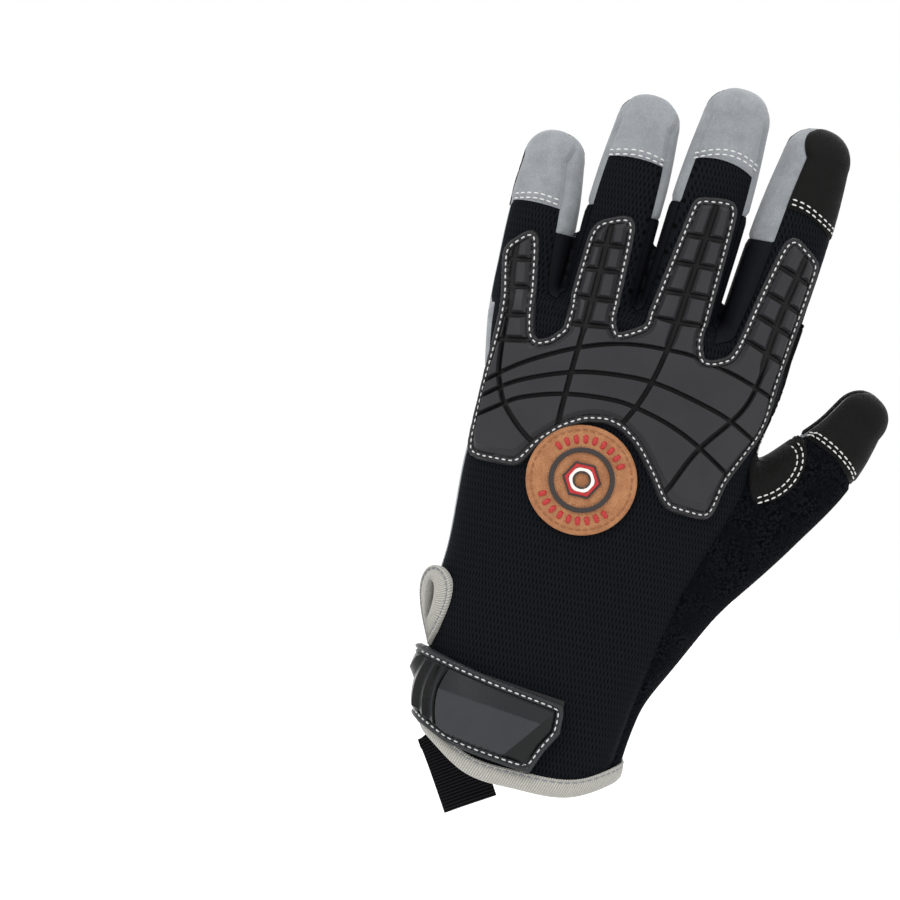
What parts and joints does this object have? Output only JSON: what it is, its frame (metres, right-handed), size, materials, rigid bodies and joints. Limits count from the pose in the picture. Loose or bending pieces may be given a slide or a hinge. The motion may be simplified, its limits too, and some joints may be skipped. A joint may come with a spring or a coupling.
{
  "type": "mechanic glove",
  "caption": "Padded left-hand work glove: knitted back with moulded guard and round badge, grey suede palm with black pads, fingertip caps and a wrist strap.",
  "frame": {"origin": "in the wrist opening, where the long axis of the hand crosses the plane of the hem", "axes": "+Z along the fingers, away from the wrist; -Y out of the back of the hand and +Y out of the palm; +X towards the thumb"},
  "size_m": [0.1454, 0.0508, 0.2643],
  "materials": {
    "knit": "near-black blue ribbed knit with rows of small holes, matt",
    "terry": "black looped terry, matt",
    "suede": "light grey mottled suede, matt",
    "leather": "black fine-grained synthetic leather, satin",
    "grip": "black synthetic leather with pressed grip dimples",
    "moulded": "dark grey moulded rubber, matt",
    "strap_cover": "dark grey moulded rubber, glossy",
    "webbing": "black ribbed webbing",
    "lycra": "black stretch cloth",
    "binding": "light grey woven binding tape",
    "badge": "tan leather with a stitched rim",
    "badge_relief": "dark and red raised rubber"
  },
  "bodies": {
    "root": {"back_panel": "knit", "palm_panel": "suede", "pinky_front": "suede", "ring_front": "suede", "middle_front": "suede", "index_front": "suede", "thumb_front": "suede", "thumb_back": "terry", "thumb_cap": "leather", "thumb_patch": "grip", "pinky_cap": "suede", "pinky_patch": "leather", "ring_cap": "suede", "ring_patch": "leather", "middle_cap": "suede", "middle_patch": "leather", "index_cap": "leather", "index_patch": "grip", "fourchette_pinky_ring": "lycra", "fourchette_ring_middle": "lycra", "fourchette_middle_index": "lycra", "knuckle_pad": "leather", "palm_pad": "leather", "thumb_pad": "leather", "index_strip": "leather", "web_patch": "leather", "back_armour": "moulded", "badge_disc": "badge", "badge_ring": "badge_relief", "badge_nut": "badge_relief", "cuff_binding": "binding", "vent_binding": "binding", "wrist_strap": "webbing", "strap_cover": "strap_cover", "strap_base": "leather", "pull_tab": "webbing"}
  },
  "joints": []
}
